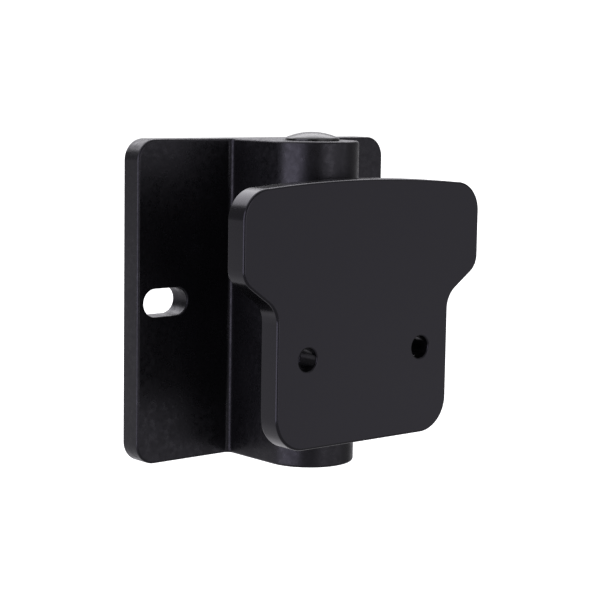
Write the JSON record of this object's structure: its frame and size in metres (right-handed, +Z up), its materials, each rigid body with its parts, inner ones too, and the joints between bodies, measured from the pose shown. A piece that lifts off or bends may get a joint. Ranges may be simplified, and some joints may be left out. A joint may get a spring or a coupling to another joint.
{
  "type": "stair gate latch bracket",
  "caption": "Black post bracket with a vertical barrel and a keystone-shaped latch plate that swivels both ways in front of it and springs back to centre.",
  "frame": {"origin": "centre of the flat back face of the post plate, where it lies on the post", "axes": "+Y into the post, +X across the bracket, +Z up along the pivot pin"},
  "size_m": [0.076, 0.0425, 0.078],
  "materials": {
    "bracket_coat": "fine-textured black powder coat",
    "latch_plate_coat": "smooth satin black coat",
    "pin_finish": "satin black",
    "black_steel": "black oxide",
    "steel": "zinc plated",
    "collar_steel": "turned",
    "spring_steel": "oiled wire",
    "bronze": "turned bronze",
    "acetal": "natural acetal",
    "nylon": "black nylon",
    "plug_plastic": "moulded black"
  },
  "bodies": {
    "post_bracket": {"base_bracket": "bracket_coat", "pivot_pin": "pin_finish", "head_washer": "nylon", "foot_washer": "steel", "retaining_clip": "steel", "foot_plug": "plug_plastic", "upper_thrust_washer": "bronze", "lower_thrust_washer": "bronze", "lower_spring_collar": "collar_steel", "collar_cross_pin": "steel", "upper_lock_screw": "black_steel", "lower_lock_screw": "black_steel"},
    "latch_plate": {"swivel_plate": "latch_plate_coat", "upper_bush": "acetal", "lower_bush": "acetal", "upper_spring_collar": "collar_steel", "collar_screw": "black_steel", "centring_spring": "spring_steel"}
  },
  "joints": [
    {"name": "swivel", "type": "hinge", "parent": "post_bracket", "child": "latch_plate", "pos_m": [0, -0.0225, 0], "axis": [0, 0, 1], "range_deg": [-45, 45], "stiffness_Nm_per_rad": 0.19, "deforming": ["centring_spring"]}
  ]
}
